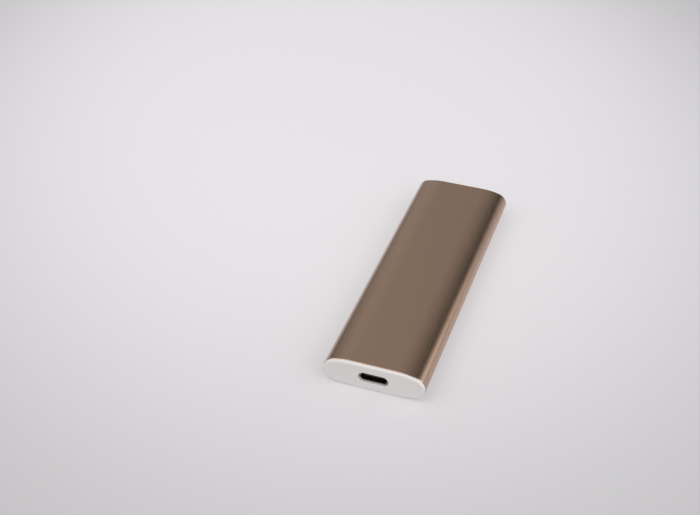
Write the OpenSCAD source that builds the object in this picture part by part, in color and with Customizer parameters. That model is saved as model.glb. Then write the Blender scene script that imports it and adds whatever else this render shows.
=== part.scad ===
// Portable solid state drive: an oval aluminium sleeve, closed by a plastic cap at each end.
// X runs across, Y along the drive with the socket at the low end, and Z up from the resting face.

/* [Body] */
// Overall length, from the front cap's face to the sleeve's rear end
body_l = 101; // [84:1:122]
// Overall width
body_w = 31.6; // [26.3:0.1:38]
// Overall thickness
body_h = 9.2; // [7.6:0.1:11.1]
// Radius of the broad shoulders beside the flat strips
shoulder_r = 21.4; // [17.8:0.1:25.7]
// Radius of the two long edges
edge_r = 3.9; // [3.2:0.1:4.1]

/* [Sleeve] */
// Wall of the sleeve
sleeve_wall = 1; // [0.8:0.1:1.2]
// Round on the sleeve's cut ends
sleeve_end_r = 0.3; // [0.2:0.05:0.4]
// Length of the step that the rear cap sits in
rear_step_l = 1.4; // [1.1:0.1:1.7]
// Wall that is left round the rear step
rear_step_wall = 0.6; // [0.5:0.05:0.7]

/* [Caps] */
// How far the front cap stands out of the sleeve
cap_lip = 0.9; // [0.7:0.05:1.1]
// Round on the front cap's outer edge
cap_edge_r = 0.6; // [0.4:0.05:0.7]
// Inset of the front cap's outline from the sleeve's
cap_reveal = 0.1; // [0.05:0.05:0.2]
// Thickness of the end plates
cap_plate = 1.6; // [1.3:0.1:1.9]
// How far the rear cap's face lies inside the sleeve's end
rear_recess = 0.1; // [0.05:0.05:0.2]
// Depth of the plugs inside the sleeve
plug_l = 3.6; // [3:0.1:4.3]
// Wall of the plugs
plug_wall = 1; // [0.8:0.1:1.2]
// Clearance of the caps in the sleeve
plug_gap = 0.1; // [0.08:0.01:0.15]
// Width of a latch arm
latch_w = 3; // [2.5:0.1:3.6]
// Thickness of a latch arm
latch_t = 0.7; // [0.6:0.1:0.8]
// How far a latch arm reaches past its plug
latch_reach = 2.2; // [1.9:0.1:2.6]

/* [Tray] */
// Wall and floor of the tray
tray_wall = 0.8; // [0.7:0.1:0.9]
// Clearance of the tray in the sleeve
tray_gap = 0.15; // [0.1:0.05:0.2]
// Space between the tray's ends and the plugs
tray_end_gap = 0.2; // [0.1:0.05:0.3]
// Radius of a screw boss
boss_r = 1.7; // [1.5:0.1:2]

/* [Board] */
// Thickness of the board
board_t = 1; // [0.8:0.1:1.2]
// Clearance between the board's sides and the tray
board_gap = 0.25; // [0.2:0.05:0.3]
// Clearance between the board's ends and the tray's
board_end_gap = 0.3; // [0.2:0.05:0.4]
// Width of each prong beside the socket
prong_w = 2.7; // [2.3:0.1:3.2]

/* [Socket] */
// Width of the socket's mouth
mouth_w = 8.34; // [8.3:0.02:8.4]
// Height of the socket's mouth
mouth_h = 2.56; // [2.5:0.02:2.6]
// Wall of the socket's shell
shell_wall = 0.3; // [0.25:0.05:0.35]
// Length of the socket's shell
shell_l = 7.35; // [6.9:0.05:7.6]
// How far the shell's rim lies behind the cap's face
shell_setback = 0.6; // [0.3:0.05:0.7]
// Clearance round the shell in the cap's opening
port_gap = 0.22; // [0.12:0.02:0.24]
// Bevel round the cap's opening
port_bevel = 0.1; // [0.05:0.05:0.25]
// Width of the tongue
tongue_w = 6.69; // [6.6:0.01:6.7]
// Thickness of the tongue
tongue_t = 0.7; // [0.65:0.05:0.75]
// Contacts in each row
contacts = 12; // [8:1:12]
// Distance from one contact to the next
contact_pitch = 0.5; // [0.48:0.01:0.52]

/* [Heat spreader] */
// Thickness of the folded sheet
sheet_t = 0.5; // [0.4:0.1:0.6]
// Clearance between the sheet and the sleeve above it
sheet_gap = 0.35; // [0.3:0.05:0.4]
// Thickness of the film on the sheet
film_t = 0.2; // [0.15:0.05:0.25]

/* [Screws] */
// Radius of the thread
thread_r = 0.68; // [0.6:0.02:0.7]
// Radius of the screw's head
head_r = 1.3; // [1.1:0.1:1.4]
// Height of the screw's head
head_h = 0.7; // [0.6:0.05:0.8]
// Depth of the thread in its boss
thread_l = 1.5; // [1.3:0.1:1.6]

/* [Hidden] */
$fn = 64;
past = 0.1;
half_l = body_l / 2;
mid_z = body_h / 2;

// The section is four pairs of tangent arcs between two flat strips
side_r = min(edge_r, mid_z - 0.5);
side_x = body_w / 2 - side_r;
arc_gap = shoulder_r - side_r;
shoulder_z = mid_z - shoulder_r;
shoulder_x = side_x - sqrt(arc_gap * arc_gap - shoulder_z * shoulder_z);
split_dir = [side_x - shoulder_x, -shoulder_z] / arc_gap;
split_end = [side_x, 0] + 2 * side_r * split_dir;

// Seats along the length
sleeve_y0 = cap_lip - half_l;
plate_y = cap_plate - half_l;
front_plug_y = sleeve_y0 + plug_l;
rear_step_y = half_l - rear_step_l;
rear_plug_y = rear_step_y - plug_l;
plug_inset = sleeve_wall + plug_gap;
tray_y0 = front_plug_y + tray_end_gap;
tray_y1 = rear_plug_y - tray_end_gap;
tray_inset = sleeve_wall + tray_gap;
floor_z = tray_inset + tray_wall;
latch_gap = 0.05;
latch_z = floor_z + latch_gap;
latch_margin = 0.2;
latch_x = shoulder_x - latch_w / 2 - latch_margin;
hook_l = 0.8;
hook_drop = 0.55;
hook_gap = 0.15;

// Board
board_w = body_w - 2 * (tray_inset + tray_wall + board_gap);
board_y0 = tray_y0 + board_end_gap;
board_y1 = tray_y1 - board_end_gap;
board_z0 = mid_z - board_t / 2;
board_z1 = mid_z + board_t / 2;
board_corner_r = 1.2;
rest_w = 1.2;
rest_l = 3;
rest_pitch = 22;
screw_inset = 2.3;
front_screw_inset = 8.5;
rear_screw_inset = 4;
screw_x = board_w / 2 - screw_inset;
front_screw_y = board_y0 + front_screw_inset;
rear_screw_y = board_y1 - rear_screw_inset;
hole_play = 0.17;
pilot_play = 0.02;
tip_space = 0.2;
hole_r = thread_r + hole_play;
pilot_r = thread_r + pilot_play;
pilot_l = thread_l + tip_space;

// Socket
shell_w = mouth_w + 2 * shell_wall;
shell_h = mouth_h + 2 * shell_wall;
shell_y0 = shell_setback - half_l;
shell_y1 = shell_y0 + shell_l;
notch_gap = 0.15;
notch_w = shell_w + 2 * notch_gap;
notch_y = shell_y1 + notch_gap;
fork_gap = 0.2;
fork_y = plate_y + fork_gap;
leg_offsets = [2.6, 6.2];
leg_l = 1;
leg_t = 0.25;
leg_reach = 1.5;
leg_pin_l = 0.8;
leg_pin_x = 0.9;
leg_x = shell_w / 2 + leg_pin_x;
tongue_depth = 1.1;
base_depth = 6.2;
base_l = 1;
base_gap = 0.04;
step_l = 1;
step_w = tongue_w + 0.9;
step_t = 1.5;
tongue_y = shell_y0 + tongue_depth;
base_y0 = shell_y0 + base_depth;
base_y1 = base_y0 + base_l;
contact_w = 0.25;
contact_t = 0.15;
contact_play = 0.01;
tail_l = 1.3;
steel_t = 0.12;
steel_y0 = tongue_y + 0.4;
steel_y1 = base_y0 + 0.6;

// Heat spreader
sheet_z1 = body_h - sleeve_wall - sheet_gap;
sheet_z0 = sheet_z1 - sheet_t;
sheet_overhang = 2.5;
sheet_side_gap = 0.2;
bend_r = 0.3;
sheet_w = 2 * min(shoulder_x + sheet_overhang, screw_x - head_r - bend_r - sheet_side_gap);
foot_l = 3.6;
sheet_y0 = front_screw_y - foot_l / 2;
sheet_y1 = rear_screw_y + foot_l / 2;
foot_end = screw_x + head_r + 0.4;

// Packages: width across, length along, height
bridge_size = [7, 7, 0.85];
controller_size = [12, 12, 1];
firmware_size = [6, 5, 0.8];
memory_size = [13.3, 7.5, 1];
flash_size = [18, 12, 1.2];
regulator_size = [3, 3, 0.8];
inductor_size = [3, 3, 1.2];
crystal_size = [2.5, 3.2, 0.7];
storage_size = [2.8, 3.5, 1.2];
capacitor_size = [1.6, 0.8, 0.8];
resistor_size = [1, 0.5, 0.35];
package_gap = 1.5;
column_l = 13.2;
bridge_y = front_screw_y + foot_l / 2 + bridge_size[1] / 2 + 0.7;
controller_y = bridge_y + (bridge_size[1] + controller_size[1]) / 2 + package_gap;
front_parts_y = controller_y + column_l / 2 + 0.5;
flash_rear_y = rear_screw_y - foot_l / 2 - flash_size[1] / 2 - 0.8;
flash_front_y = flash_rear_y - flash_size[1] - package_gap;
memory_y = flash_front_y - (flash_size[1] + memory_size[1]) / 2 - package_gap;
rear_parts_y = memory_y - memory_size[1] / 2 - 0.5;
column_x = 8.9;
pad_inset = 0.5;

// Rows of small parts fill what is left between the front and the rear packages
row_pitch = 3;
capacitor_row = 1;
resistor_row = 2.3;
rows = floor((rear_parts_y - front_parts_y) / row_pitch);

// Ground spring
spring_w = 1.6;
spring_t = 0.15;
spring_gap = 0.1;
spring_foot = 1.3;
spring_x = shoulder_x + spring_w / 4;
spring_y = shell_y1 + 2 * notch_gap;
spring_r = (body_h - sleeve_wall - spring_gap - board_z1) / 2;

// Extrudes a section, drawn in X and Z, from y0 to y1
module along_y(y0, y1) {
  translate([0, y1, 0]) rotate([90, 0, 0]) linear_extrude(y1 - y0) children();
}

// Repeats one quadrant of the section in all four
module four_ways() {
  for (i = [0, 1], j = [0, 1]) mirror([i, 0, 0]) mirror([0, j, 0]) children();
}

// Stretch of a quadrant that the shoulder's arc fills
module shoulder_sector() {
  polygon([[shoulder_x, 0], [side_x, 0], split_end, [shoulder_x, split_end[1]]]);
}

// Stretch of a quadrant that the edge's arc fills
module side_sector() {
  polygon([[side_x, 0], split_end, [body_w, split_end[1]], [body_w, 0]]);
}

// The oval section, drawn in from the outside by inset
module oval_2d(inset) {
  translate([0, mid_z]) {
    square([2 * shoulder_x, body_h - 2 * inset], center = true);
    four_ways() {
      intersection() {
        translate([shoulder_x, shoulder_z]) circle(shoulder_r - inset);
        shoulder_sector();
      }
      intersection() {
        translate([side_x, 0]) circle(side_r - inset);
        side_sector();
      }
    }
  }
}

// What a round of radius r takes off a square corner
module corner_cut(r) {
  difference() {
    square(2 * r);
    circle(r);
  }
}

// Half section of a rounded block: w outwards and l along, with its own round at each end
module end_profile(w, l, front_r, rear_r) {
  difference() {
    square([w, l]);
    if (front_r > 0) translate([w - front_r, l - front_r]) corner_cut(front_r);
    if (rear_r > 0) translate([w - rear_r, rear_r]) mirror([0, 1, 0]) corner_cut(rear_r);
  }
}

// A block of the oval section from y0 to y1, rounded along its end edges
module rounded_oval(inset, y0, y1, front_r = 0, rear_r = 0) {
  l = y1 - y0;
  translate([0, y1, mid_z]) rotate([90, 0, 0]) {
    for (k = [0, 1]) mirror([0, k, 0]) translate([-shoulder_x, 0, 0]) rotate([90, 0, 90])
      linear_extrude(2 * shoulder_x) end_profile(mid_z - inset, l, front_r, rear_r);
    four_ways() {
      intersection() {
        translate([shoulder_x, shoulder_z, 0])
          rotate_extrude() end_profile(shoulder_r - inset, l, front_r, rear_r);
        linear_extrude(l) shoulder_sector();
      }
      intersection() {
        translate([side_x, 0, 0]) rotate_extrude() end_profile(side_r - inset, l, front_r, rear_r);
        linear_extrude(l) side_sector();
      }
    }
  }
}

// A slot with fully round ends, centred on the drive's middle height
module slot_2d(w, h) {
  translate([0, mid_z]) {
    square([w - h, h], center = true);
    for (side = [-1, 1]) translate([side * (w - h) / 2, 0]) circle(h / 2);
  }
}

// Bevel of a slot's mouth at the front face, cut a little past that face
module slot_bevel(w, h, bevel) {
  run = (w - h) / 2;
  depth = bevel + past;
  translate([0, bevel - half_l, mid_z]) rotate([90, 0, 0]) {
    for (side = [-1, 1]) translate([side * run, 0, 0]) cylinder(h = depth, r1 = h / 2, r2 = h / 2 + depth);
    translate([-run, 0, 0]) rotate([90, 0, 90]) linear_extrude(2 * run)
      polygon([[-h / 2, 0], [h / 2, 0], [h / 2 + depth, depth], [-h / 2 - depth, depth]]);
  }
}

module outer_sleeve() {
  color([0.52, 0.44, 0.38]) difference() {
    rounded_oval(0, sleeve_y0, half_l, sleeve_end_r, sleeve_end_r);
    along_y(sleeve_y0 - past, half_l + past) oval_2d(sleeve_wall);
    along_y(rear_step_y, half_l + past) oval_2d(rear_step_wall);
  }
}

// An arm that lies on the tray's floor and drops its hook into the floor's window
module latch_arm(root_y, plug_y) {
  tip_y = plug_y + latch_reach;
  root_z = plug_inset + plug_wall / 2;
  translate([-latch_w / 2, root_y - past, root_z])
    cube([latch_w, plug_y - root_y + past, latch_z + latch_t - root_z]);
  translate([-latch_w / 2, plug_y - past, latch_z]) cube([latch_w, latch_reach + past, latch_t]);
  translate([-latch_w / 2, tip_y - hook_l, latch_z - hook_drop]) cube([latch_w, hook_l, hook_drop + past]);
}

// The part of a cap inside the sleeve: a plate, a ring and two latch arms
module plug(seat_y, inner_y, plug_y) {
  difference() {
    along_y(seat_y, plug_y) oval_2d(plug_inset);
    along_y(inner_y, plug_y + past) oval_2d(plug_inset + plug_wall);
  }
  for (side = [-1, 1]) translate([side * latch_x, 0, 0]) latch_arm(inner_y, plug_y);
}

module front_cap() {
  port_w = shell_w + 2 * port_gap;
  port_h = shell_h + 2 * port_gap;
  color([0.9, 0.88, 0.87]) difference() {
    union() {
      rounded_oval(cap_reveal, -half_l, sleeve_y0, cap_edge_r);
      plug(sleeve_y0, plate_y, front_plug_y);
    }
    along_y(-half_l - past, plate_y + past) slot_2d(port_w, port_h);
    slot_bevel(port_w, port_h, port_bevel);
  }
}

module rear_cap() {
  color([0.9, 0.88, 0.87]) mirror([0, 1, 0]) {
    rounded_oval(rear_step_wall + plug_gap, rear_recess - half_l, -rear_step_y, 0.2);
    plug(-rear_step_y, plate_y + rear_recess, -rear_plug_y);
  }
}

// Copies a feature to the four screw places
module at_screws() {
  for (x = [-screw_x, screw_x], y = [front_screw_y, rear_screw_y]) translate([x, y, 0]) children();
}

// Blocks inside the tray's wall that the board's edges rest on
module board_rests() {
  mid_y = (board_y0 + board_y1) / 2;
  rest_x = board_w / 2 - rest_w;
  for (side = [0, 1], k = [-1, 0, 1]) mirror([side, 0, 0])
    translate([rest_x, mid_y + k * rest_pitch - rest_l / 2, tray_inset])
      cube([body_w / 2 - rest_x, rest_l, board_z0 - tray_inset]);
}

// Windows in the tray's floor for the hooks of both caps
module hook_windows() {
  for (side = [-1, 1], y = [front_plug_y + latch_reach - hook_l, rear_plug_y - latch_reach])
    translate([side * latch_x - latch_w / 2 - hook_gap, y - hook_gap, 0])
      cube([latch_w + 2 * hook_gap, hook_l + 2 * hook_gap, latch_z]);
}

module inner_tray() {
  color([0.16, 0.16, 0.17]) difference() {
    union() {
      intersection() {
        along_y(tray_y0, tray_y1) difference() {
          oval_2d(tray_inset);
          oval_2d(tray_inset + tray_wall);
        }
        translate([-body_w / 2, tray_y0, 0]) cube([body_w, tray_y1 - tray_y0, board_z1]);
      }
      intersection() {
        along_y(tray_y0, tray_y1) oval_2d(tray_inset + tray_wall / 2);
        union() {
          at_screws() cylinder(h = board_z0, r = boss_r);
          board_rests();
        }
      }
    }
    at_screws() translate([0, 0, board_z0 - pilot_l]) cylinder(h = pilot_l + past, r = pilot_r);
    hook_windows();
  }
}

// A rectangle with round corners, from y0 to y1
module round_rect(w, y0, y1, r) {
  translate([-w / 2 + r, y0]) square([w - 2 * r, y1 - y0]);
  translate([-w / 2, y0 + r]) square([w, y1 - y0 - 2 * r]);
  for (x = [r - w / 2, w / 2 - r], y = [y0 + r, y1 - r]) translate([x, y]) circle(r);
}

module main_board() {
  fork_w = notch_w + 2 * prong_w;
  color([0.05, 0.22, 0.16]) translate([0, 0, board_z0]) linear_extrude(board_t) difference() {
    union() {
      round_rect(board_w, board_y0, board_y1, board_corner_r);
      translate([-fork_w / 2, fork_y]) square([fork_w, board_y0 - fork_y + board_corner_r]);
    }
    translate([-notch_w / 2, fork_y - past]) square([notch_w, notch_y - fork_y + past]);
    at_screws() circle(hole_r);
    for (side = [-1, 1], offset_y = leg_offsets)
      translate([side * (leg_x + leg_t / 2), shell_y0 + offset_y])
        square([leg_t + 2 * notch_gap, leg_pin_l + 2 * notch_gap], center = true);
  }
}

// Bent section of one leg of the heat spreader, in X and Z
module leg_section() {
  out_r = bend_r + sheet_t;
  top_z = sheet_z1 - out_r;
  low_z = board_z1 + out_r;
  edge_x = sheet_w / 2;
  translate([edge_x - out_r, top_z]) intersection() {
    difference() {
      circle(out_r);
      circle(bend_r);
    }
    square(out_r);
  }
  translate([edge_x - sheet_t, low_z]) square([sheet_t, top_z - low_z]);
  translate([edge_x + bend_r, low_z]) intersection() {
    difference() {
      circle(out_r);
      circle(bend_r);
    }
    translate([-out_r, -out_r]) square(out_r);
  }
  translate([edge_x + bend_r, board_z1]) square([foot_end - edge_x - bend_r, sheet_t]);
}

module heat_spreader() {
  flat_half = sheet_w / 2 - bend_r - sheet_t;
  color([0.75, 0.76, 0.78]) difference() {
    union() {
      translate([-flat_half, sheet_y0, sheet_z0]) cube([2 * flat_half, sheet_y1 - sheet_y0, sheet_t]);
      for (side = [-1, 1]) translate([side * flat_half - bend_r, sheet_y0 + foot_l, sheet_z0])
        cube([2 * bend_r, sheet_y1 - sheet_y0 - 2 * foot_l, sheet_t]);
      for (side = [0, 1], y = [sheet_y0, sheet_y1 - foot_l])
        mirror([side, 0, 0]) along_y(y, y + foot_l) leg_section();
    }
    at_screws() translate([0, 0, board_z1 - past]) cylinder(h = sheet_t + 2 * past, r = hole_r);
  }
}

module spreader_film() {
  film_w = 2 * shoulder_x - 1;
  color([0.2, 0.2, 0.21]) translate([-film_w / 2, sheet_y0 + 1, sheet_z1])
    cube([film_w, sheet_y1 - sheet_y0 - 2, film_t]);
}

// A soft pad centred at y, from z0 to z1
module pad(w, l, y, z0, z1) {
  translate([-w / 2, y - l / 2, z0]) cube([w, l, z1 - z0]);
}

module upper_thermal_pads() {
  parts = [[controller_size, controller_y], [memory_size, memory_y],
    [flash_size, flash_front_y], [flash_size, flash_rear_y]];
  color([0.62, 0.66, 0.72]) for (part = parts) {
    pad_w = min(part[0][0], sheet_w - 2) - 2 * pad_inset;
    pad(pad_w, part[0][1] - 2 * pad_inset, part[1], board_z1 + part[0][2], sheet_z0);
  }
}

module lower_thermal_pads() {
  pad_w = min(flash_size[0], 2 * shoulder_x) - 2 * pad_inset;
  color([0.62, 0.66, 0.72]) for (y = [flash_front_y, flash_rear_y])
    pad(pad_w, flash_size[1] - 2 * pad_inset, y, floor_z, board_z0 - flash_size[2]);
}

module board_screws() {
  tip = 0.3;
  edge = 0.3;
  shank = sheet_t + board_t + thread_l;
  recess_w = 0.35;
  color([0.55, 0.55, 0.57]) at_screws() translate([0, 0, board_z1 + sheet_t]) difference() {
    rotate_extrude() polygon([[0, -shank], [thread_r - tip, -shank], [thread_r, tip - shank], [thread_r, 0],
      [head_r, 0], [head_r, head_h - edge], [head_r - edge, head_h], [0, head_h]]);
    for (turn = [0, 90]) rotate(turn) translate([-head_r / 2, -recess_w / 2, head_h / 2])
      cube([head_r, recess_w, head_h]);
  }
}

module usb_c_shell() {
  color([0.72, 0.72, 0.71]) {
    along_y(shell_y0, shell_y1) difference() {
      slot_2d(shell_w, shell_h);
      slot_2d(mouth_w, mouth_h);
    }
    for (side = [0, 1], offset_y = leg_offsets) mirror([side, 0, 0]) {
      root_x = mouth_w / 2 - 0.07;
      y = shell_y0 + offset_y;
      translate([root_x, y - leg_l / 2, board_z1])
        cube([shell_w / 2 + leg_reach - root_x, leg_l, leg_t]);
      translate([leg_x, y - leg_pin_l / 2, board_z0 - leg_t])
        cube([leg_t, leg_pin_l, board_t + leg_t + past]);
    }
  }
}

// Places a feature at each contact of one row, side 0 above the tongue and side 1 below
module at_contacts(side) {
  translate([0, 0, mid_z]) mirror([0, 0, side]) for (k = [0:contacts - 1])
    translate([(k - (contacts - 1) / 2) * contact_pitch, 0, 0]) children();
}

// A flat block from y0 to y1, centred on the tongue's plane
module tongue_block(w, t, y0, y1) {
  translate([-w / 2, y0, mid_z - t / 2]) cube([w, y1 - y0, t]);
}

module usb_c_insulator() {
  groove_z = tongue_t / 2 - contact_t - contact_play;
  groove_w = contact_w + 2 * contact_play;
  groove_y = tongue_y + 0.2;
  slot_play = 2 * contact_play;
  color([0.07, 0.07, 0.08]) difference() {
    union() {
      tongue_block(tongue_w, tongue_t, tongue_y, base_y0 + past);
      tongue_block(step_w, step_t, base_y0 - step_l, base_y0 + past);
      along_y(base_y0, base_y1) slot_2d(mouth_w - 2 * base_gap, mouth_h - 2 * base_gap);
    }
    for (side = [0, 1]) at_contacts(side) translate([-groove_w / 2, groove_y, groove_z])
      cube([groove_w, base_y1 - groove_y + past, contact_t + slot_play]);
    tongue_block(tongue_w + slot_play, steel_t + slot_play,
      steel_y0 - contact_play, steel_y1 + contact_play);
  }
}

module usb_c_mid_plate() {
  color([0.7, 0.7, 0.7]) tongue_block(tongue_w, steel_t, steel_y0, steel_y1);
}

// One contact: along the tongue, out behind the base and up onto the board
module contact() {
  top = tongue_t / 2;
  low = top - contact_t;
  start_y = tongue_y + 0.25;
  rise_y = base_y1 + 0.05;
  end_y = rise_y + tail_l;
  deck = board_t / 2;
  translate([-contact_w / 2, 0, 0]) rotate([90, 0, 90]) linear_extrude(contact_w)
    polygon([[start_y, low], [start_y, top], [rise_y, top], [rise_y, deck + contact_t],
      [end_y, deck + contact_t], [end_y, deck], [rise_y + contact_t, deck], [rise_y + contact_t, low]]);
}

module usb_c_upper_contacts() {
  color([0.83, 0.68, 0.3]) at_contacts(0) contact();
}

module usb_c_lower_contacts() {
  color([0.83, 0.68, 0.3]) at_contacts(1) contact();
}

// Places a part on top of the board, or turned over under it
module on_board(x, y, under = false) {
  translate([x, y, under ? board_z0 : board_z1]) mirror([0, 0, under ? 1 : 0]) children();
}

// A moulded package on its carrier, with a dimple at one corner
module package(size) {
  carrier_t = 0.25;
  edge = 0.1;
  dimple = 0.4;
  difference() {
    union() {
      translate([-size[0] / 2, -size[1] / 2, 0]) cube([size[0], size[1], carrier_t]);
      translate([edge - size[0] / 2, edge - size[1] / 2, 0])
        cube([size[0] - 2 * edge, size[1] - 2 * edge, size[2]]);
    }
    translate([1 - size[0] / 2, 1 - size[1] / 2, size[2] - edge]) cylinder(h = 2 * edge, r = dimple);
  }
}

// A small two-ended part, with an end cap at each end along X
module chip_part(size) {
  cap_l = size[0] / 5;
  skin = 0.03;
  translate([-size[0] / 2, skin - size[1] / 2, skin]) cube([size[0], size[1] - 2 * skin, size[2] - 2 * skin]);
  for (x = [-size[0] / 2, size[0] / 2 - cap_l])
    translate([x, -size[1] / 2, 0]) cube([cap_l, size[1], size[2]]);
}

module usb_bridge_chip() {
  color([0.1, 0.1, 0.11]) on_board(0, bridge_y) package(bridge_size);
}

module drive_controller() {
  color([0.1, 0.1, 0.11]) on_board(0, controller_y) package(controller_size);
}

module firmware_chip() {
  color([0.1, 0.1, 0.11]) on_board(0, bridge_y, true) package(firmware_size);
}

module cache_memory() {
  color([0.1, 0.1, 0.11]) on_board(0, memory_y) package(memory_size);
}

module flash_chip(y, under = false) {
  color([0.12, 0.12, 0.13]) on_board(0, y, under) package(flash_size);
}

module power_regulators() {
  pitch = regulator_size[1] + 0.8;
  color([0.1, 0.1, 0.11]) for (k = [-0.5, 0.5])
    on_board(column_x, bridge_y + k * pitch) package(regulator_size);
}

module power_inductors() {
  base_t = 0.9;
  core_r = 1.3;
  pitch = inductor_size[1] + 1;
  color([0.25, 0.25, 0.27]) for (k = [-1, 0, 1]) on_board(column_x, controller_y + k * pitch - 1) {
    translate([-inductor_size[0] / 2, -inductor_size[1] / 2, 0])
      cube([inductor_size[0], inductor_size[1], base_t]);
    cylinder(h = inductor_size[2], r = core_r);
  }
}

module storage_capacitors() {
  pitch = storage_size[1] + 0.7;
  color([0.75, 0.58, 0.2]) for (k = [-1, 0, 1])
    on_board(-column_x, controller_y + k * pitch + 0.6) rotate(90)
      chip_part([storage_size[1], storage_size[0], storage_size[2]]);
}

module crystals() {
  rim = 0.25;
  lid_r = 0.4;
  base_t = crystal_size[2] / 2;
  pitch = crystal_size[1] + 0.6;
  color([0.78, 0.78, 0.76]) for (k = [-0.5, 0.5]) on_board(-column_x, bridge_y + k * pitch - 0.4) {
    translate([-crystal_size[0] / 2, -crystal_size[1] / 2, 0])
      cube([crystal_size[0], crystal_size[1], base_t]);
    translate([0, 0, base_t - past]) linear_extrude(crystal_size[2] - base_t + past)
      round_rect(crystal_size[0] - 2 * rim, rim - crystal_size[1] / 2, crystal_size[1] / 2 - rim, lid_r);
  }
}

module ceramic_capacitors() {
  color([0.6, 0.5, 0.36]) {
    for (x = [-4:2:4]) on_board(x, bridge_y + (bridge_size[1] + package_gap) / 2) chip_part(resistor_size);
    for (row = [0:1:rows - 1], x = [-7.5:3:7.5])
      on_board(x, front_parts_y + row * row_pitch + capacitor_row) chip_part(capacitor_size);
    for (x = [-3:3:3], y = [-2, 2]) on_board(x, controller_y + y, true) chip_part(capacitor_size);
  }
}

module chip_resistors() {
  color([0.14, 0.14, 0.15]) {
    for (x = [-4.5:1.8:4.5]) on_board(x, front_screw_y - 1) chip_part(resistor_size);
    for (row = [0:1:rows - 1], x = [-6:3:6])
      on_board(x, front_parts_y + row * row_pitch + resistor_row) chip_part(resistor_size);
  }
}

// A strip bent into a C, soldered to the board and reaching up to the sleeve
module ground_spring() {
  color([0.85, 0.72, 0.45]) translate([spring_x - spring_w / 2, spring_y, board_z1])
    rotate([90, 0, 90]) linear_extrude(spring_w) {
      square([spring_foot, spring_t]);
      translate([0, 2 * spring_r - spring_t]) square([spring_foot, spring_t]);
      translate([spring_foot, spring_r]) intersection() {
        difference() {
          circle(spring_r);
          circle(spring_r - spring_t);
        }
        translate([0, -spring_r]) square([spring_r, 2 * spring_r]);
      }
    }
}

outer_sleeve();
front_cap();
rear_cap();
inner_tray();
main_board();
heat_spreader();
spreader_film();
upper_thermal_pads();
lower_thermal_pads();
board_screws();
usb_c_shell();
usb_c_insulator();
usb_c_mid_plate();
usb_c_upper_contacts();
usb_c_lower_contacts();
usb_bridge_chip();
drive_controller();
firmware_chip();
cache_memory();
flash_chip(flash_front_y);  // flash_chip_1
flash_chip(flash_rear_y);  // flash_chip_2
flash_chip(flash_front_y, true);  // flash_chip_3
flash_chip(flash_rear_y, true);  // flash_chip_4
power_regulators();
power_inductors();
storage_capacitors();
crystals();
ceramic_capacitors();
chip_resistors();
ground_spring();
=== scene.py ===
import math

import bpy
from mathutils import Matrix, Vector


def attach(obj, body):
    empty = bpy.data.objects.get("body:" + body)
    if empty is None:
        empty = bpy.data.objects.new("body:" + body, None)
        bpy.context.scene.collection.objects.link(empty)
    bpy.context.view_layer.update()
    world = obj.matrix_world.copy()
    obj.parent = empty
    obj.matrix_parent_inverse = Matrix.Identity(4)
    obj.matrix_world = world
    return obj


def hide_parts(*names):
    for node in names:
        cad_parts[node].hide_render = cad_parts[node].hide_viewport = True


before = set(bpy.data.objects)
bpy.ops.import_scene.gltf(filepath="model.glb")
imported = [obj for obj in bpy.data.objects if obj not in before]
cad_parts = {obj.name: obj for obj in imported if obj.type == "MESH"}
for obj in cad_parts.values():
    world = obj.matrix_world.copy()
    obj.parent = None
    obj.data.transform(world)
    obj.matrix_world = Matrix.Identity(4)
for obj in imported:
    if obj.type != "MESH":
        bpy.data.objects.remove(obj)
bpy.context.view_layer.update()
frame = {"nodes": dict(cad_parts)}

# Lengths are in millimetres until a mesh is made, and MM turns them into metres
MM = 0.001
sleeve_box = frame["nodes"]["outer_sleeve"].bound_box
HALF_W, HALF_L, BODY_H = (round(max(edges) / MM, 3) for edges in zip(*sleeve_box))
MID_Z = BODY_H / 2

# The oval section: a flat strip, a broad shoulder and a tight long edge in each quarter
SHOULDER_R = 21.4
EDGE_R = 3.9
EDGE_X = HALF_W - EDGE_R
FLAT_X = EDGE_X - math.sqrt((SHOULDER_R - EDGE_R) ** 2 - (SHOULDER_R - MID_Z) ** 2)
SPLIT = math.atan2(EDGE_X - FLAT_X, SHOULDER_R - MID_Z)
FLAT_STEPS = (0.0, 0.3, 0.6, 0.85, 0.97)
SHOULDER_STEPS = 16
EDGE_STEPS = 30

# Sleeve, whose front end lies behind the front cap's lip and whose rear end is the drive's own
CAP_LIP = 0.9
SLEEVE_Y0 = CAP_LIP - HALF_L
SLEEVE_END_R = 0.3
SLEEVE_WALL = 1.0
REAR_STEP_WALL = 0.6
REAR_STEP_L = 1.4
REAR_STEP_Y = HALF_L - REAR_STEP_L

# Caps
CAP_PLATE = 1.6
CAP_REVEAL = 0.1
CAP_EDGE_R = 0.6
PLUG_GAP = 0.1
PLUG_INSET = SLEEVE_WALL + PLUG_GAP
PLUG_WALL = 1.0
PLUG_L = 3.6
FRONT_PLATE_Y = CAP_PLATE - HALF_L
REAR_RECESS = 0.1
REAR_FACE_Y = HALF_L - REAR_RECESS
REAR_PLATE_Y = REAR_FACE_Y - CAP_PLATE
REAR_INSET = REAR_STEP_WALL + PLUG_GAP
REAR_EDGE_R = 0.2

# Latch arms of the caps, with a hook at each tip
LATCH_X = 5.3
LATCH_W = 3.0
LATCH_REACH = 2.2
LATCH_SINK = 0.05
LATCH_T = 0.7
LATCH_LOW_Z = 2.0
LATCH_TOP_Z = LATCH_LOW_Z + LATCH_T
LATCH_ROOT_Z = 1.6
HOOK_L = 0.8
HOOK_Z = 1.45

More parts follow.
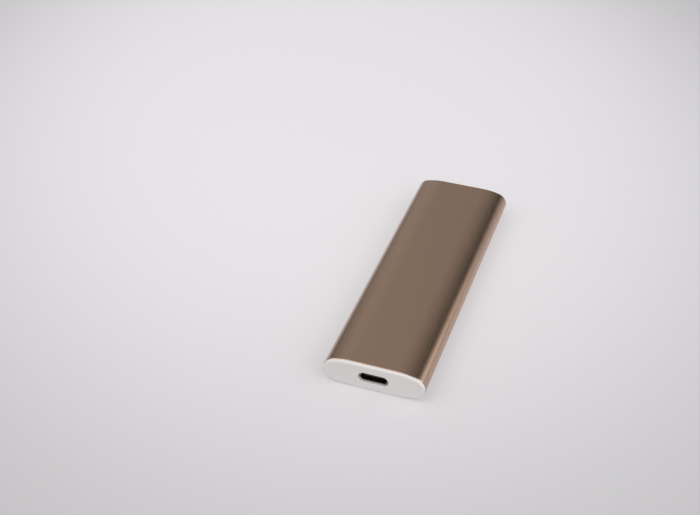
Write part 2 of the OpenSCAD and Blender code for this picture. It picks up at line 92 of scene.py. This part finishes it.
# Socket shell, its mouth and the opening round it
MOUTH_W = 8.34
MOUTH_H = 2.56
SHELL_WALL = 0.3
SHELL_W = MOUTH_W + 2 * SHELL_WALL
SHELL_H = MOUTH_H + 2 * SHELL_WALL
SHELL_L = 7.35
SHELL_SETBACK = 0.6
SHELL_Y0 = SHELL_SETBACK - HALF_L
SHELL_Y1 = SHELL_Y0 + SHELL_L
RIM_R = 0.1
PORT_GAP = 0.22
PORT_W = SHELL_W + 2 * PORT_GAP
PORT_H = SHELL_H + 2 * PORT_GAP
PORT_BEVEL = 0.1

# Legs of the socket shell, which lie on the board and have a pin that goes through it
BOARD_Z0 = 4.1
BOARD_Z1 = 5.1
LEG_OFFSETS = (2.6, 6.2)
LEG_SINK = 0.07
LEG_ROOT_X = MOUTH_W / 2 - LEG_SINK
LEG_REACH = 1.5
LEG_END_X = SHELL_W / 2 + LEG_REACH
LEG_L = 1.0
LEG_T = 0.25
PIN_OUT = 0.9
PIN_X = SHELL_W / 2 + PIN_OUT
PIN_L = 0.8
PIN_SINK = 0.1

# Rows of a round, and the width of the narrow row that keeps the shading flat beside it
ROUND_STEPS = 8
KEEP_FLAT = 0.04

# Faces that meet under this angle are shaded as one
SMOOTH_ANGLE = 30.0


def quarter_turn(steps):
    """Angles from 0 to a quarter turn."""
    return [math.pi / 2 * step / steps for step in range(steps + 1)]


def quarter_oval(inset):
    """One quarter of the section as (x, z) from the middle of the top to just before the widest point."""
    points = [(FLAT_X * share, MID_Z - inset) for share in FLAT_STEPS]
    shoulder_r = SHOULDER_R - inset
    for step in range(SHOULDER_STEPS):
        angle = SPLIT * step / SHOULDER_STEPS
        z = MID_Z - SHOULDER_R + shoulder_r * math.cos(angle)
        points.append((FLAT_X + shoulder_r * math.sin(angle), z))
    edge_r = EDGE_R - inset
    for step in range(EDGE_STEPS):
        angle = SPLIT + (math.pi / 2 - SPLIT) * step / EDGE_STEPS
        points.append((EDGE_X + edge_r * math.sin(angle), edge_r * math.cos(angle)))
    return points


def quarter_slot(width, height):
    """One quarter of a slot with round ends, with as many points as quarter_oval gives."""
    end_r = height / 2
    run = width / 2 - end_r
    straight = len(FLAT_STEPS) + SHOULDER_STEPS
    points = [(run * step / straight, end_r) for step in range(straight)]
    for angle in quarter_turn(EDGE_STEPS)[:-1]:
        points.append((run + end_r * math.sin(angle), end_r * math.cos(angle)))
    return points


def whole(quarter, widest):
    """A closed ring from one quarter, clockwise as seen from the front, with z above the resting face."""
    right = quarter + [(widest, 0.0)]
    right = right + [(x, -z) for x, z in reversed(quarter)]
    left = [(-x, z) for x, z in reversed(right[1:-1])]
    return [(x, z + MID_Z) for x, z in right + left]


def oval(inset):
    """The section's outline, moved in by inset."""
    return whole(quarter_oval(inset), EDGE_X + EDGE_R - inset)


def slot_ring(width, height):
    """The outline of a slot with round ends, at the drive's middle height."""
    return whole(quarter_slot(width, height), width / 2)


def mesh_object(name, verts, faces):
    """An object from points in millimetres."""
    mesh = bpy.data.meshes.new(name)
    mesh.from_pydata([[length * MM for length in point] for point in verts], [], faces)
    mesh.validate()
    mesh.shade_smooth()
    mesh.set_sharp_from_angle(angle=math.radians(SMOOTH_ANGLE))
    made = bpy.data.objects.new(name, mesh)
    bpy.context.scene.collection.objects.link(made)
    return made


def loft(rings, closed):
    """Faces between rings of (points, y).

    A closed loft joins the last ring to the first, and an open one fills both."""
    count = len(rings[0][0])
    verts = [(x, y, z) for points, y in rings for x, z in points]
    faces = []
    last = len(rings) if closed else len(rings) - 1
    for row in range(last):
        here = row * count
        there = (row + 1) % len(rings) * count
        for place in range(count):
            after = (place + 1) % count
            faces.append((here + place, here + after, there + after, there + place))
    if not closed:
        faces.append(tuple(range(count - 1, -1, -1)))
        faces.append(tuple(range(last * count, last * count + count)))
    return verts, faces


def joined(*parts):
    """Several (verts, faces) pairs as one."""
    verts, faces = [], []
    for part_verts, part_faces in parts:
        faces += [tuple(corner + len(verts) for corner in face) for face in part_faces]
        verts += part_verts
    return verts, faces


def round_rows(inset, y, r, inwards, rising):
    """(inset, y) rows of a quarter round of radius r, between the face at y and the wall at inset.

    inwards is +1 where the solid lies at higher y than the face, else -1. Rows that are rising run
    from the face to the wall."""
    rows = [(inset + r + KEEP_FLAT, y)]
    for angle in quarter_turn(ROUND_STEPS):
        rows.append((inset + r * (1 - math.sin(angle)), y + inwards * r * (1 - math.cos(angle))))
    rows.append((inset, y + inwards * (r + KEEP_FLAT)))
    return rows if rising else rows[::-1]


def prism(outline, x0, x1):
    """A block from x0 to x1 with a closed outline of (y, z) points, counter-clockwise as seen from +X."""
    count = len(outline)
    verts = [(x, y, z) for x in (x0, x1) for y, z in outline]
    faces = [tuple(range(count - 1, -1, -1)), tuple(range(count, 2 * count))]
    for place in range(count):
        after = (place + 1) % count
        faces.append((place, after, count + after, count + place))
    return verts, faces


def cuboid(x0, x1, y0, y1, z0, z1):
    return prism([(y0, z0), (y1, z0), (y1, z1), (y0, z1)], x0, x1)


def sleeve():
    """The tube, with rounded ends and the step that the rear cap sits in."""
    rows = [(SLEEVE_WALL, REAR_STEP_Y), (SLEEVE_WALL, SLEEVE_Y0)]
    rows += round_rows(0.0, SLEEVE_Y0, SLEEVE_END_R, 1, True)
    rows += round_rows(0.0, HALF_L, SLEEVE_END_R, -1, False)
    rows += [(REAR_STEP_WALL, HALF_L), (REAR_STEP_WALL, REAR_STEP_Y)]
    return mesh_object("sleeve", *loft([(oval(inset), y) for inset, y in rows], True))


def latches(side, plate_y, plug_y):
    """The two arms of a cap. side is -1 for the front cap and 1 for the rear one."""
    tip_y = plug_y - side * LATCH_REACH
    hook_y = tip_y + side * HOOK_L
    root_y = plate_y + side * LATCH_SINK
    outline = [(root_y, LATCH_ROOT_Z), (plug_y, LATCH_ROOT_Z), (plug_y, LATCH_LOW_Z), (hook_y, LATCH_LOW_Z),
               (hook_y, HOOK_Z), (tip_y, HOOK_Z), (tip_y, LATCH_TOP_Z), (root_y, LATCH_TOP_Z)]
    if side > 0:
        outline = outline[::-1]
    return [prism(outline, x - LATCH_W / 2, x + LATCH_W / 2) for x in (-LATCH_X, LATCH_X)]


def front_cap():
    """The cap with the socket's opening: a rounded plate and a plug inside the sleeve."""
    plug_y = SLEEVE_Y0 + PLUG_L
    hole = [(slot_ring(PORT_W, PORT_H), FRONT_PLATE_Y),
            (slot_ring(PORT_W, PORT_H), PORT_BEVEL - HALF_L),
            (slot_ring(PORT_W + 2 * PORT_BEVEL, PORT_H + 2 * PORT_BEVEL), -HALF_L)]
    rows = round_rows(CAP_REVEAL, -HALF_L, CAP_EDGE_R, 1, True)
    rows += [(CAP_REVEAL, SLEEVE_Y0), (PLUG_INSET, SLEEVE_Y0), (PLUG_INSET, plug_y),
             (PLUG_INSET + PLUG_WALL, plug_y), (PLUG_INSET + PLUG_WALL, FRONT_PLATE_Y)]
    body = loft(hole + [(oval(inset), y) for inset, y in rows], True)
    return mesh_object("front_end_cap", *joined(body, *latches(-1, FRONT_PLATE_Y, plug_y)))


def rear_cap():
    """The plain cap: a plate in the sleeve's rear step and a plug."""
    plug_y = REAR_STEP_Y - PLUG_L
    rows = [(PLUG_INSET + PLUG_WALL, REAR_PLATE_Y), (PLUG_INSET + PLUG_WALL, plug_y), (PLUG_INSET, plug_y),
            (PLUG_INSET, REAR_STEP_Y), (REAR_INSET, REAR_STEP_Y)]
    rows += round_rows(REAR_INSET, REAR_FACE_Y, REAR_EDGE_R, -1, False)
    body = loft([(oval(inset), y) for inset, y in rows], False)
    return mesh_object("rear_end_cap", *joined(body, *latches(1, REAR_PLATE_Y, plug_y)))


def socket_legs():
    """Four legs that lie on the board, each with a pin down through it."""
    legs = []
    for side in (-1, 1):
        flat = sorted((side * LEG_ROOT_X, side * LEG_END_X))
        pin = sorted((side * PIN_X, side * (PIN_X + LEG_T)))
        for offset in LEG_OFFSETS:
            y = SHELL_Y0 + offset
            legs.append(cuboid(*flat, y - LEG_L / 2, y + LEG_L / 2, BOARD_Z1, BOARD_Z1 + LEG_T))
            legs.append(cuboid(*pin, y - PIN_L / 2, y + PIN_L / 2, BOARD_Z0 - LEG_T, BOARD_Z1 + PIN_SINK))
    return legs


def socket_shell():
    """The drawn shell, with its mouth's lip rolled, and its four legs."""
    rows = [(SHELL_WALL, SHELL_Y1), (0.0, SHELL_Y1), (0.0, SHELL_Y0 + RIM_R + KEEP_FLAT)]
    for angle in quarter_turn(ROUND_STEPS):
        rows.append((RIM_R * (1 - math.cos(angle)), SHELL_Y0 + RIM_R * (1 - math.sin(angle))))
    for angle in quarter_turn(ROUND_STEPS):
        rows.append((SHELL_WALL - RIM_R * (1 - math.sin(angle)), SHELL_Y0 + RIM_R * (1 - math.cos(angle))))
    rows.append((SHELL_WALL, SHELL_Y0 + RIM_R + KEEP_FLAT))
    rings = [(slot_ring(SHELL_W - 2 * inset, SHELL_H - 2 * inset), y) for inset, y in rows[::-1]]
    return mesh_object("socket_shell", *joined(loft(rings, True), *socket_legs()))


def add_node(tree, kind, inputs=None, **settings):
    """A new node. inputs gives its inputs, by name or number, a value or the socket that feeds them."""
    made = tree.nodes.new(kind)
    for name, value in settings.items():
        setattr(made, name, value)
    for key, value in (inputs or {}).items():
        if isinstance(value, bpy.types.NodeSocket):
            tree.links.new(value, made.inputs[key])
        else:
            made.inputs[key].default_value = value
    return made


class Paint:
    """One procedural material on a Principled shader, with coordinates in millimetres of the piece."""

    def __init__(self, name, base, metallic=0.0):
        self.material = bpy.data.materials.new(name)
        self.material.use_nodes = True
        self.tree = self.material.node_tree
        self.shader = next(node for node in self.tree.nodes if node.type == "BSDF_PRINCIPLED")
        self.shader.inputs["Metallic"].default_value = metallic
        self.shader.inputs["Base Color"].default_value = (*base, 1)
        self.base = base
        metres = self.node("ShaderNodeTexCoord").outputs["Object"]
        scale = self.node("ShaderNodeVectorMath", {0: metres, "Scale": 1 / MM}, operation="SCALE")
        self.mm = scale.outputs[0]
        self.normal = None

    def node(self, kind, inputs=None, **settings):
        return add_node(self.tree, kind, inputs, **settings)

    def stretched(self, x, y, z):
        """The coordinates with each axis multiplied, for grain that runs along the piece."""
        inputs = {0: self.mm, 1: (x, y, z)}
        return self.node("ShaderNodeVectorMath", inputs, operation="MULTIPLY").outputs[0]

    def noise(self, size, detail=3.0, coords=None):
        """Noise from 0 to 1 whose features are about size millimetres wide."""
        inputs = {"Scale": 1 / size, "Detail": detail, "Vector": coords or self.mm}
        return self.node("ShaderNodeTexNoise", inputs).outputs["Fac"]

    def cells(self, size, coords=None):
        """Distance to the nearest of scattered points about size millimetres apart."""
        inputs = {"Scale": 1 / size, "Vector": coords or self.mm}
        return self.node("ShaderNodeTexVoronoi", inputs).outputs["Distance"]

    def spread(self, value, low, high, from_low=0.3, from_high=0.7):
        """value mapped from its usual range to low..high."""
        return self.node("ShaderNodeMapRange", {
            "Value": value,
            "From Min": from_low,
            "From Max": from_high,
            "To Min": low,
            "To Max": high,
        }).outputs["Result"]

    def calc(self, first, operation, second):
        return self.node("ShaderNodeMath", {0: first, 1: second}, operation=operation).outputs[0]

    def colour(self, factor, other):
        """Takes the colour so far to other as factor goes from 0 to 1."""
        old = self.shader.inputs["Base Color"]
        so_far = old.links[0].from_socket if old.is_linked else old.default_value
        inputs = {"Factor": factor, "A": so_far, "B": (*other, 1)}
        mix = self.node("ShaderNodeMix", inputs, data_type="RGBA")
        self.tree.links.new(mix.outputs["Result"], old)

    def clouds(self, size, amount, detail=3.0, most=1.0):
        """Patches about size millimetres wide that go to the base colour less amount of it."""
        darker = [channel * (1 - amount) for channel in self.base]
        self.colour(self.spread(self.noise(size, detail), 0.0, most), darker)

    def rough(self, value):
        self.tree.links.new(value, self.shader.inputs["Roughness"])

    def satin(self, size, low, high, coords=None):
        """Roughness from low to high, in patches about size millimetres wide."""
        self.rough(self.spread(self.noise(size, coords=coords), low, high))

    def bump(self, height, depth):
        """Relief of up to depth millimetres on top of the relief so far."""
        bump = self.node("ShaderNodeBump", {"Distance": depth * MM, "Height": height})
        if self.normal:
            self.tree.links.new(self.normal, bump.inputs["Normal"])
        self.normal = bump.outputs["Normal"]
        self.tree.links.new(self.normal, self.shader.inputs["Normal"])

    def even(self, **values):
        """Sets inputs that are the same all over, with _ for the spaces in their names."""
        for name, value in values.items():
            self.shader.inputs[name.replace("_", " ")].default_value = value

    def put(self, *objects):
        for painted in objects:
            painted.data.materials.clear()
            painted.data.materials.append(self.material)


SLEEVE_METAL = (0.48, 0.30, 0.20)
CAP_WHITE = (0.78, 0.75, 0.74)


def sleeve_metal():
    """Bead-blasted aluminium under the clear film of its anodising.

    It has fine dimples, a faint drawing grain and a few handling smudges."""
    paint = Paint("sleeve_metal", SLEEVE_METAL, metallic=1.0)
    paint.clouds(size=0.22, amount=0.05, detail=2.0)
    paint.clouds(size=24.0, amount=0.04, detail=2.0, most=0.6)
    grain = paint.noise(0.18, 2.0, paint.stretched(1.0, 0.04, 1.0))
    smudge = paint.spread(paint.noise(14.0), low=-0.02, high=0.02)
    paint.rough(paint.calc(paint.spread(grain, low=0.26, high=0.28), "ADD", smudge))
    paint.bump(paint.noise(0.12, 2.0), depth=0.002)
    paint.bump(paint.cells(0.25), depth=0.0015)
    paint.bump(paint.noise(0.5, 2.0), depth=0.0012)
    paint.even(Specular_Tint=(0.75, 0.7, 0.66, 1), Coat_Weight=1.0, Coat_IOR=1.6, Coat_Roughness=0.28)
    return paint


def cap_plastic():
    """White moulded plastic with a fine satin skin that lets a little light in."""
    paint = Paint("cap_plastic", CAP_WHITE)
    paint.clouds(size=6.0, amount=0.02)
    paint.clouds(size=0.5, amount=0.015, detail=2.0)
    paint.satin(size=0.9, low=0.36, high=0.46)
    paint.bump(paint.noise(0.16, 2.0), depth=0.004)
    paint.even(Subsurface_Weight=0.12, Subsurface_Radius=(1.0, 0.85, 0.75), Subsurface_Scale=0.6 * MM)
    return paint


def moulded(name, base, rough, grain=0.2, depth=0.006):
    """Moulded plastic or resin with a fine grain and slight clouds of shade."""
    paint = Paint(name, base)
    paint.clouds(size=4.0, amount=0.08)
    paint.satin(0.8, *rough)
    paint.bump(paint.noise(grain, 2.0), depth)
    return paint


def plated(name, base, rough, along=(1.0, 0.08, 1.0)):
    """Plated or rolled metal with drawing marks along one axis and slight tarnish."""
    paint = Paint(name, base, metallic=1.0)
    paint.clouds(size=2.5, amount=0.10, detail=4.0)
    grain = paint.noise(0.08, coords=paint.stretched(*along))
    paint.rough(paint.spread(grain, *rough))
    paint.bump(grain, depth=0.0012)
    return paint


def circuit_board():
    """Green solder mask in long patches, paler and a little raised where copper lies under it."""
    paint = Paint("circuit_board", (0.015, 0.075, 0.045))
    cells = paint.cells(0.9, paint.stretched(1.0, 0.35, 1.0))
    copper = paint.spread(cells, 0.0, 1.0, from_low=0.28, from_high=0.34)
    paint.colour(copper, (0.02, 0.12, 0.07))
    paint.clouds(size=0.3, amount=0.15)
    paint.satin(size=1.2, low=0.28, high=0.42)
    paint.bump(copper, depth=0.03)
    return paint


def chip_resin():
    """Moulded black resin with a fine matt skin and faint flow marks."""
    paint = Paint("chip_resin", (0.011, 0.011, 0.013))
    paint.colour(paint.spread(paint.noise(3.0), 0.0, 1.0), (0.018, 0.018, 0.02))
    paint.satin(size=0.35, low=0.45, high=0.62)
    paint.bump(paint.noise(0.09, 2.0), depth=0.005)
    return paint


def graphite_film():
    """Dark film with a dull metal sheen and slight wrinkles."""
    paint = Paint("graphite_film", (0.035, 0.035, 0.038), metallic=0.6)
    paint.clouds(size=1.5, amount=0.3, detail=4.0)
    paint.satin(size=0.6, low=0.3, high=0.5, coords=paint.stretched(1.0, 0.2, 1.0))
    paint.bump(paint.noise(0.5), depth=0.01)
    return paint


def thermal_pad():
    """Soft grey-blue silicone with a pebbled skin."""
    paint = Paint("thermal_pad", (0.34, 0.39, 0.47))
    paint.clouds(size=1.2, amount=0.12, detail=4.0)
    paint.satin(size=0.8, low=0.6, high=0.8)
    paint.bump(paint.cells(0.35), depth=0.02)
    return paint


def fired_ceramic(name, base, rough, depth):
    """The glazed and slightly mottled body of a small two-ended part."""
    paint = Paint(name, base)
    paint.clouds(size=0.5, amount=0.2)
    paint.satin(0.3, *rough)
    paint.bump(paint.noise(0.15, 2.0), depth)
    return paint


CHIPS = (
    "usb_bridge_chip", "drive_controller", "firmware_chip", "cache_memory", "flash_chip_1",
    "flash_chip_2", "flash_chip_3", "flash_chip_4", "power_regulators",
)


def paint_outside(nodes, sleeve_piece, front, rear, shell):
    sleeve_metal().put(sleeve_piece)
    cap_plastic().put(front, rear)
    # The socket steel is a steel grey made darker, partly as painted shade for its rim inside the recessed
    # opening
    steel = plated("socket_steel", (0.42, 0.41, 0.39), rough=(0.22, 0.34))
    steel.put(shell, nodes["usb_c_mid_plate"])


def paint_inside(nodes):
    black = moulded("socket_plastic", (0.012, 0.012, 0.014), rough=(0.35, 0.5), grain=0.1, depth=0.003)
    black.put(nodes["usb_c_insulator"])
    gold = plated("contact_gold", (0.83, 0.6, 0.24), rough=(0.18, 0.28))
    gold.put(nodes["usb_c_upper_contacts"], nodes["usb_c_lower_contacts"])
    moulded("tray_plastic", (0.022, 0.022, 0.024), rough=(0.45, 0.6)).put(nodes["inner_tray"])
    plated("spreader_metal", (0.62, 0.63, 0.65), rough=(0.28, 0.42)).put(nodes["heat_spreader"])
    graphite_film().put(nodes["spreader_film"])
    thermal_pad().put(nodes["upper_thermal_pads"], nodes["lower_thermal_pads"])
    upright = (1.0, 1.0, 0.2)
    plated("screw_steel", (0.42, 0.42, 0.44), rough=(0.25, 0.4), along=upright).put(nodes["board_screws"])
    plated("spring_metal", (0.7, 0.48, 0.2), rough=(0.2, 0.32)).put(nodes["ground_spring"])


def paint_board(nodes):
    circuit_board().put(nodes["main_board"])
    chip_resin().put(*[nodes[chip] for chip in CHIPS])
    powder = moulded("inductor_resin", (0.05, 0.05, 0.058), rough=(0.5, 0.7), grain=0.12, depth=0.012)
    powder.put(nodes["power_inductors"])
    moulded("capacitor_resin", (0.52, 0.3, 0.04), rough=(0.4, 0.55)).put(nodes["storage_capacitors"])
    plated("crystal_can", (0.58, 0.58, 0.55), rough=(0.2, 0.32)).put(nodes["crystals"])
    tan = fired_ceramic("capacitor_ceramic", (0.32, 0.22, 0.11), rough=(0.35, 0.5), depth=0.006)
    tan.put(nodes["ceramic_capacitors"])
    dark = fired_ceramic("resistor_ceramic", (0.017, 0.017, 0.02), rough=(0.25, 0.4), depth=0.004)
    dark.put(nodes["chip_resistors"])


# Floor, in metres: a pale disc that sweeps up at its rim
FLOOR_R = 2.4
SWEEP_R = 0.25
WALL_TOP = 0.3
FLOOR_SIDES = 96
SWEEP_STEPS = 12

# Its colour holds a painted pool of light, brightest at a place behind the drive and fading over the reach,
# both in millimetres
FLOOR_COLOUR = (0.834, 0.815, 0.834)
FLOOR_FAR = 0.6
LIGHT_POOL_CENTRE = (-64.0, 106.0)
FLOOR_TURN = 25.5
FLOOR_REACH = (170.0, 222.0)
FLOOR_EVEN = 0.5


def floor_mesh():
    profile = [(FLOOR_R, 0.0)]
    for angle in quarter_turn(SWEEP_STEPS)[1:]:
        profile.append((FLOOR_R + SWEEP_R * math.sin(angle), SWEEP_R * (1 - math.cos(angle))))
    profile.append((FLOOR_R + SWEEP_R, WALL_TOP))
    verts = []
    for r, z in profile:
        for side in range(FLOOR_SIDES):
            angle = 2 * math.pi * side / FLOOR_SIDES
            verts.append((r * math.cos(angle), r * math.sin(angle), z))
    faces = [tuple(range(FLOOR_SIDES))]
    for row in range(len(profile) - 1):
        near, far = row * FLOOR_SIDES, (row + 1) * FLOOR_SIDES
        for side in range(FLOOR_SIDES):
            after = (side + 1) % FLOOR_SIDES
            faces.append((near + side, far + side, far + after, near + after))
    mesh = bpy.data.meshes.new("floor")
    mesh.from_pydata(verts, [], faces)
    mesh.shade_smooth()
    return mesh


def floor_light_pool(paint):
    """The floor's colour at each place with the painted pool of light, from FLOOR_COLOUR at the pool's
    middle down to FLOOR_FAR of it far away.
    """
    place = paint.node("ShaderNodeMapping", {
        "Vector": paint.mm,
        "Location": (*LIGHT_POOL_CENTRE, 0),
        "Rotation": (0, 0, math.radians(FLOOR_TURN)),
        "Scale": (*FLOOR_REACH, 1),
    }, vector_type="TEXTURE").outputs[0]
    away = paint.node("ShaderNodeVectorMath", {0: place, 1: place}, operation="DOT_PRODUCT")
    square = away.outputs["Value"]
    fourth = paint.calc(square, "MULTIPLY", square)
    near = paint.calc(math.e, "POWER", paint.calc(fourth, "MULTIPLY", -1.0))
    level = paint.calc(paint.calc(near, "MULTIPLY", 1 - FLOOR_FAR), "ADD", FLOOR_FAR)
    inputs = {0: FLOOR_COLOUR, "Scale": level}
    return paint.node("ShaderNodeVectorMath", inputs, operation="SCALE").outputs[0]


def floor_paint():
    """Pale satin paint whose colour holds the painted pool of light. FLOOR_EVEN of it glows evenly with
    that colour, unlit, to the camera and in reflections and clear materials, and the rest shows it as it is
    lit."""
    paint = Paint("floor_paint", FLOOR_COLOUR)
    shade = floor_light_pool(paint)
    # The base colour carries the painted pool of light
    paint.tree.links.new(shade, paint.shader.inputs["Base Color"])
    paint.satin(size=9.0, low=0.42, high=0.5)
    paint.even(Specular_IOR_Level=0.3)
    even = paint.node("ShaderNodeEmission", {"Color": shade})
    rays = paint.node("ShaderNodeLightPath").outputs
    seen = paint.calc(rays["Is Camera Ray"], "MAXIMUM", rays["Is Glossy Ray"])
    seen = paint.calc(seen, "MAXIMUM", rays["Is Transmission Ray"])
    share = paint.calc(seen, "MULTIPLY", FLOOR_EVEN)
    mix = paint.node("ShaderNodeMixShader", {"Fac": share, 1: paint.shader.outputs[0], 2: even.outputs[0]})
    output = next(node for node in paint.tree.nodes if node.type == "OUTPUT_MATERIAL")
    paint.tree.links.new(mix.outputs[0], output.inputs["Surface"])
    return paint


def floor():
    made = bpy.data.objects.new("floor", floor_mesh())
    bpy.context.scene.collection.objects.link(made)
    floor_paint().put(made)


def lamp(name, place, size, power):
    """A square soft box at place, in metres, turned to the drive."""
    data = bpy.data.lights.new(name, "AREA")
    data.shape = "SQUARE"
    data.size = size
    data.energy = power
    made = bpy.data.objects.new(name, data)
    made.location = place
    made.rotation_mode = "QUATERNION"
    made.rotation_quaternion = (-Vector(place)).to_track_quat("-Z", "Y")
    bpy.context.scene.collection.objects.link(made)


# How bright the room is round the drive, as (azimuth, level), with azimuth 0 along +Y and 90 along +X
ROOM_RING = (
    (-180.0, 0.35), (-105.0, 0.35), (-80.0, 0.08), (-54.0, 0.02), (-30.0, 0.52), (-20.0, 0.45), (2.0, 0.32),
    (14.0, 0.06), (25.0, 0.06), (35.0, 0.18), (43.0, 1.1), (49.0, 1.7), (61.0, 1.7), (80.0, 0.85),
    (140.0, 0.6), (180.0, 0.35),
)
# The ceiling's brightness, and the elevations over which the walls give way to it
CEILING_LEVEL = 0.65
CEILING_FROM = 70.0
CEILING_TO = 88.0


def wall_colour(tree, axes):
    """Grey that goes round the drive as ROOM_RING says."""
    flat = {0: axes.outputs["X"], 1: axes.outputs["Y"]}
    azimuth = add_node(tree, "ShaderNodeMath", flat, operation="ARCTAN2")
    turn = add_node(tree, "ShaderNodeMapRange", {
        "Value": azimuth.outputs[0],
        "From Min": -math.pi,
        "From Max": math.pi,
    })
    ring = add_node(tree, "ShaderNodeValToRGB", {"Fac": turn.outputs["Result"]})
    stops = ring.color_ramp.elements
    while len(stops) < len(ROOM_RING):
        stops.new(1.0)
    for stop, (angle, level) in zip(stops, ROOM_RING):
        stop.position = (angle + 180) / 360
        stop.color = (level, level, level, 1)
    return ring.outputs["Color"]


def room():
    """Walls, brightest behind the drive's right side and with two dark gaps, under an even ceiling."""
    made = bpy.data.worlds.new("room")
    made.use_nodes = True
    tree = made.node_tree
    towards = add_node(tree, "ShaderNodeTexCoord").outputs["Generated"]
    axes = add_node(tree, "ShaderNodeSeparateXYZ", {0: towards})
    high = add_node(tree, "ShaderNodeMapRange", {
        "Value": axes.outputs["Z"],
        "From Min": math.sin(math.radians(CEILING_FROM)),
        "From Max": math.sin(math.radians(CEILING_TO)),
    }, interpolation_type="SMOOTHSTEP")
    brightness = add_node(tree, "ShaderNodeMix", {
        "Factor": high.outputs["Result"],
        "A": wall_colour(tree, axes),
        "B": (CEILING_LEVEL, CEILING_LEVEL, CEILING_LEVEL, 1),
    }, data_type="RGBA")
    back = next(node for node in tree.nodes if node.type == "BACKGROUND")
    tree.links.new(brightness.outputs["Result"], back.inputs["Color"])
    bpy.context.scene.world = made


# Camera, fitted to the outline's edges in the photograph
AZIMUTH = 19.122
ELEVATION = 37.389
ROLL = 0.199
FOCAL_PX = 1211.805
PICTURE = (700.0, 515.0)
SENSOR = 36.0
NEAREST_SEEN = 0.01

# The pixel of the floor under the middle of the drive's near end, and how deep in view it is, in mm
AIM_PX = (372.74, 391.445)
DISTANCE = 357.191


def camera():
    azimuth, elevation, roll = (math.radians(angle) for angle in (AZIMUTH, ELEVATION, ROLL))
    flat = math.cos(elevation)
    back = Vector((math.sin(azimuth) * flat, -math.cos(azimuth) * flat, math.sin(elevation)))
    flat_right = Vector((math.cos(azimuth), math.sin(azimuth), 0))
    flat_up = flat_right.cross(-back)
    right = math.cos(roll) * flat_right + math.sin(roll) * flat_up
    up = math.cos(roll) * flat_up - math.sin(roll) * flat_right
    x = (AIM_PX[0] - PICTURE[0] / 2) * DISTANCE / FOCAL_PX
    y = (PICTURE[1] / 2 - AIM_PX[1]) * DISTANCE / FOCAL_PX
    near_end = Vector((0, -HALF_L, 0))
    place = near_end - (x * right + y * up - DISTANCE * back)
    data = bpy.data.cameras.new("camera")
    data.sensor_width = SENSOR
    data.lens = SENSOR * FOCAL_PX / PICTURE[0]
    data.clip_start = NEAREST_SEEN
    made = bpy.data.objects.new("camera", data)
    turn = Matrix((right, up, back)).transposed().to_4x4()
    made.matrix_world = Matrix.Translation(place * MM) @ turn
    bpy.context.scene.collection.objects.link(made)
    bpy.context.scene.camera = made


def main():
    nodes = frame["nodes"]
    pieces = {
        "outer_sleeve": (sleeve(), "sleeve_metal"),
        "front_cap": (front_cap(), "cap_plastic"),
        "rear_cap": (rear_cap(), "cap_plastic"),
        "usb_c_shell": (socket_shell(), "socket_steel"),
    }
    for replaced, (piece, slot) in pieces.items():
        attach(piece, "root")
        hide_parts(replaced)
    paint_outside(nodes, *[piece for piece, _ in pieces.values()])
    paint_inside(nodes)
    paint_board(nodes)
    floor()
    room()
    lamp("key", place=(-0.52, -0.36, 0.82), size=1.0, power=5.8)
    lamp("fill", place=(0.60, -0.35, 0.45), size=0.5, power=1.8)
    camera()
    bpy.context.scene.view_settings.view_transform = "Standard"


main()
